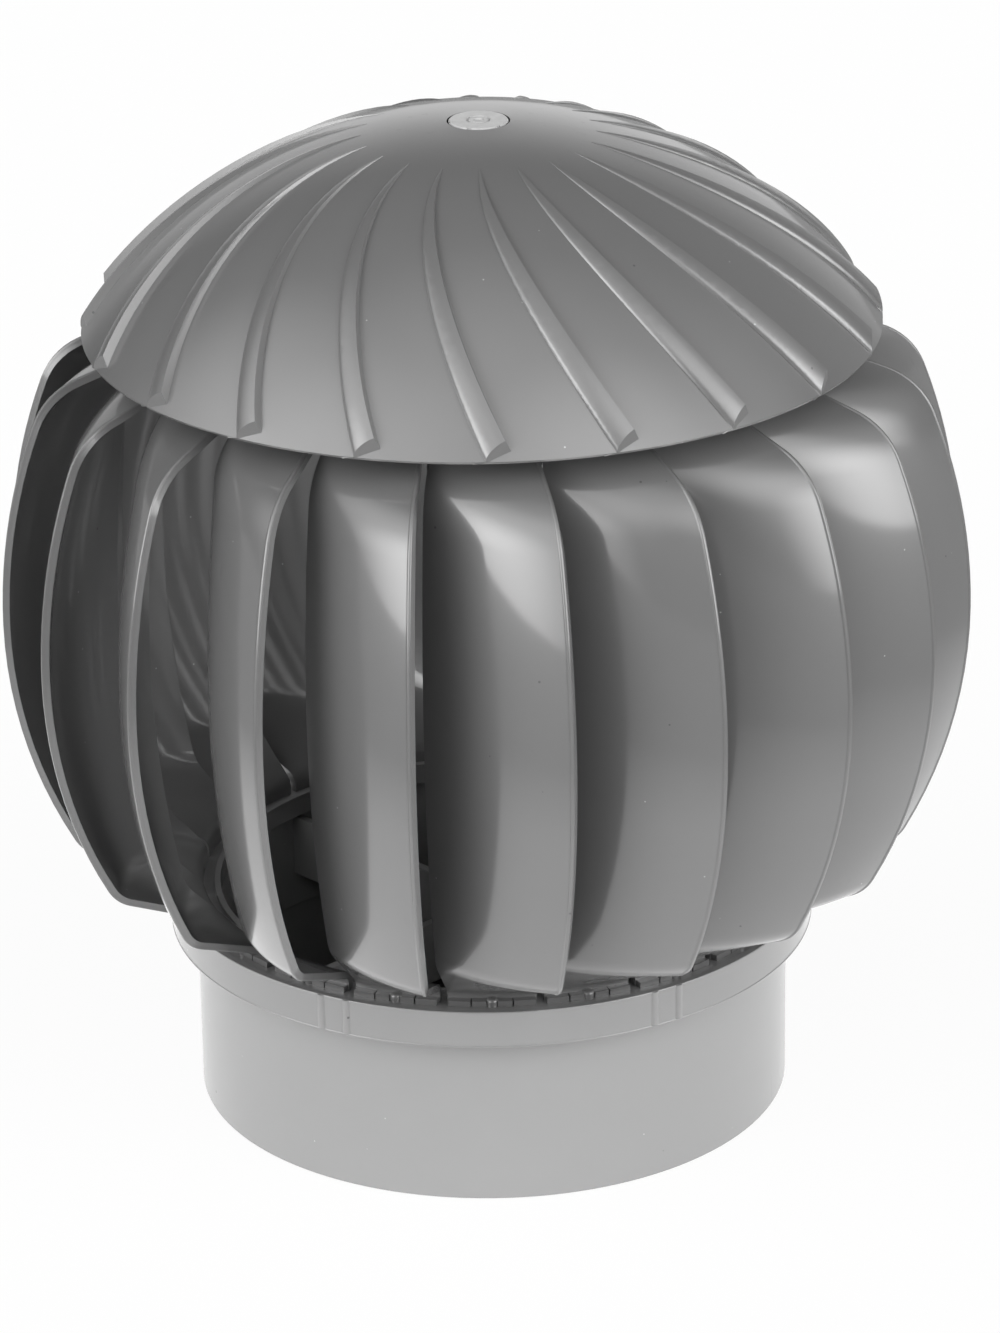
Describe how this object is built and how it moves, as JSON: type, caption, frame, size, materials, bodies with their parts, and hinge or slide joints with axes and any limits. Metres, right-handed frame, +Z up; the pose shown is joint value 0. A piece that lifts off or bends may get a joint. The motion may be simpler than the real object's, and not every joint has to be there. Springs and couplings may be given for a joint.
{
  "type": "rotating chimney cowl",
  "caption": "Ball-shaped rotating chimney cowl: curved blades between a swirl-ribbed domed cap and a collar, turning on a plain tube that fits over a flue stack.",
  "frame": {"origin": "centre of the base tube's lower edge, where the cowl stands", "axes": "+Z up along the axle towards the cap, -Y towards the front"},
  "size_m": [0.3102, 0.3102, 0.33],
  "materials": {
    "moulded_plastic": "satin",
    "clear_plastic": "glossy",
    "zinc_plated_steel": "satin",
    "bearing_steel": "polished"
  },
  "bodies": {
    "base": {"base_tube": "moulded_plastic", "axle": "zinc_plated_steel", "hub_washer_lower": "zinc_plated_steel", "hub_nut_lower": "zinc_plated_steel", "hub_washer_upper": "zinc_plated_steel", "hub_nut_upper": "zinc_plated_steel", "axle_clip": "zinc_plated_steel", "bearing_lower_inner": "bearing_steel", "bearing_upper_inner": "bearing_steel", "bearing_spacer": "zinc_plated_steel", "axle_nut": "zinc_plated_steel"},
    "rotor": {"lower_ring": "moulded_plastic", "cap": "moulded_plastic", "bearing_lower_outer": "bearing_steel", "bearing_upper_outer": "bearing_steel", "housing_clip": "zinc_plated_steel", "top_plug": "clear_plastic", "blade_01": "moulded_plastic", "blade_02": "moulded_plastic", "blade_03": "moulded_plastic", "blade_04": "moulded_plastic", "blade_05": "moulded_plastic", "blade_06": "moulded_plastic", "blade_07": "moulded_plastic", "blade_08": "moulded_plastic", "blade_09": "moulded_plastic", "blade_10": "moulded_plastic", "blade_11": "moulded_plastic", "blade_12": "moulded_plastic", "blade_13": "moulded_plastic", "blade_14": "moulded_plastic", "blade_15": "moulded_plastic", "blade_16": "moulded_plastic", "blade_17": "moulded_plastic", "blade_18": "moulded_plastic", "blade_19": "moulded_plastic", "blade_20": "moulded_plastic"}
  },
  "joints": [
    {"name": "rotor_spin", "type": "hinge", "parent": "base", "child": "rotor", "pos_m": [0, 0, 0.25], "axis": [0, 0, 1], "continuous": true}
  ]
}
